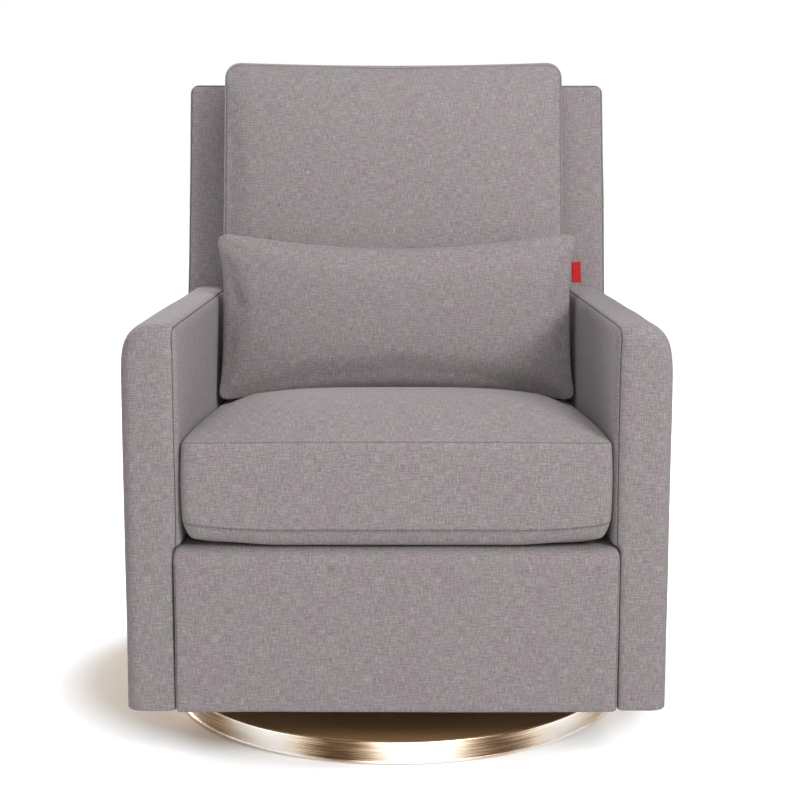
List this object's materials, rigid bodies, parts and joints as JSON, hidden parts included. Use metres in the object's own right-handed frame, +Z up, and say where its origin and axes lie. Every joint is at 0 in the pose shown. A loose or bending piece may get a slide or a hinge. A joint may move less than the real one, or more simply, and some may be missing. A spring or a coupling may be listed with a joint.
{
  "type": "swivel rocker",
  "caption": "Upholstered track-arm armchair with loose cushions that swivels on a bearing over a low round metal base and rocks to and fro on hanging links.",
  "frame": {"origin": "on the floor in the swivel axis, the middle of the round base", "axes": "+Z up; the seat faces -Y; +X to the right of someone who looks at the chair's front"},
  "size_m": [0.75, 0.8974, 1.024],
  "materials": {
    "upholstery": "woven melange",
    "foam": "matte",
    "deck_fabric": "matte",
    "dust_fabric": "matte",
    "webbing": "matte",
    "red_tab": "matte",
    "frame_wood": "unfinished",
    "base_metal": "brushed champagne",
    "black_steel": "satin",
    "bearing_steel": "ground",
    "fasteners": "zinc plated",
    "spring_wire": "oiled",
    "bronze": "satin",
    "nylon": "matte",
    "stop_rubber": "matte",
    "felt": "matte"
  },
  "bodies": {
    "base": {"floor_pad": "felt", "ballast_plate": "black_steel", "base_cover": "base_metal", "hub_ring": "black_steel", "lower_race": "bearing_steel", "hub_bolts": "fasteners", "king_pin": "bearing_steel", "king_nut": "fasteners"},
    "bearing_cage": {"bearing_balls": "bearing_steel", "ball_cage": "nylon"},
    "turntable": {"upper_race": "bearing_steel", "turntable_plate": "black_steel", "race_bolts": "fasteners", "tower_left": "black_steel", "tower_right": "black_steel", "tower_ties": "black_steel", "tower_bolts": "fasteners", "upper_pivot_pins": "bearing_steel", "glide_stops": "stop_rubber"},
    "front_links": {"front_link_left": "black_steel", "front_link_right": "black_steel", "front_link_bearings": "bronze"},
    "rear_links": {"rear_link_left": "black_steel", "rear_link_right": "black_steel", "rear_link_bearings": "bronze"},
    "seat_cushion": {"seat_cushion": "upholstery", "seat_foam_core": "foam"},
    "lumbar_pillow": {"lumbar_pillow": "upholstery", "lumbar_filling": "foam", "pillow_tab": "red_tab"},
    "seat": {"carrier_left": "black_steel", "carrier_right": "black_steel", "carrier_bars": "black_steel", "carrier_bolts": "fasteners", "lower_pivot_pins": "bearing_steel", "front_board": "frame_wood", "side_rail_left": "frame_wood", "side_rail_right": "frame_wood", "back_rail": "frame_wood", "front_slat": "frame_wood", "rear_slat": "frame_wood", "corner_blocks": "frame_wood", "seat_springs": "spring_wire", "spring_clips": "spring_wire", "deck_cloth": "deck_fabric", "dust_cover": "dust_fabric", "arm_left": "upholstery", "arm_right": "upholstery", "arm_frame_left": "frame_wood", "arm_frame_right": "frame_wood", "back_panel": "upholstery", "back_post_left": "frame_wood", "back_post_right": "frame_wood", "back_top_rail": "frame_wood", "back_middle_rail": "frame_wood", "back_lower_rail": "frame_wood", "back_webbing": "webbing", "front_border": "upholstery", "back_cushion": "upholstery", "back_foam_core": "foam"}
  },
  "joints": [
    {"name": "swivel", "type": "hinge", "parent": "base", "child": "turntable", "pos_m": [0, 0, 0.043], "axis": [0, 0, 1], "continuous": true},
    {"name": "cage_roll", "type": "hinge", "parent": "base", "child": "bearing_cage", "pos_m": [0, 0, 0.043], "axis": [0, 0, 1], "continuous": true},
    {"name": "front_swing", "type": "hinge", "parent": "turntable", "child": "front_links", "pos_m": [0, -0.15, 0.223], "axis": [1, 0, 0], "range_deg": [-30, 30]},
    {"name": "rear_swing", "type": "hinge", "parent": "turntable", "child": "rear_links", "pos_m": [0, 0.15, 0.223], "axis": [1, 0, 0], "range_deg": [-30, 30]},
    {"name": "seat_level", "type": "hinge", "parent": "front_links", "child": "seat", "pos_m": [0, -0.15, 0.108], "axis": [1, 0, 0], "range_deg": [-30, 30]},
    {"name": "seat_cushion_out", "type": "slide", "parent": "seat", "child": "seat_cushion", "axis": [0, -0.9986, 0.0523], "range_m": [0, 0.55]},
    {"name": "pillow_lift", "type": "slide", "parent": "seat", "child": "lumbar_pillow", "axis": [0, -0.64, 0.7684], "range_m": [0, 0.35]}
  ],
  "couplings": [
    {"joint": "cage_roll", "follows": "swivel", "ratio": 0.5},
    {"joint": "rear_swing", "follows": "front_swing", "ratio": 1},
    {"joint": "seat_level", "follows": "front_swing", "ratio": -1}
  ]
}
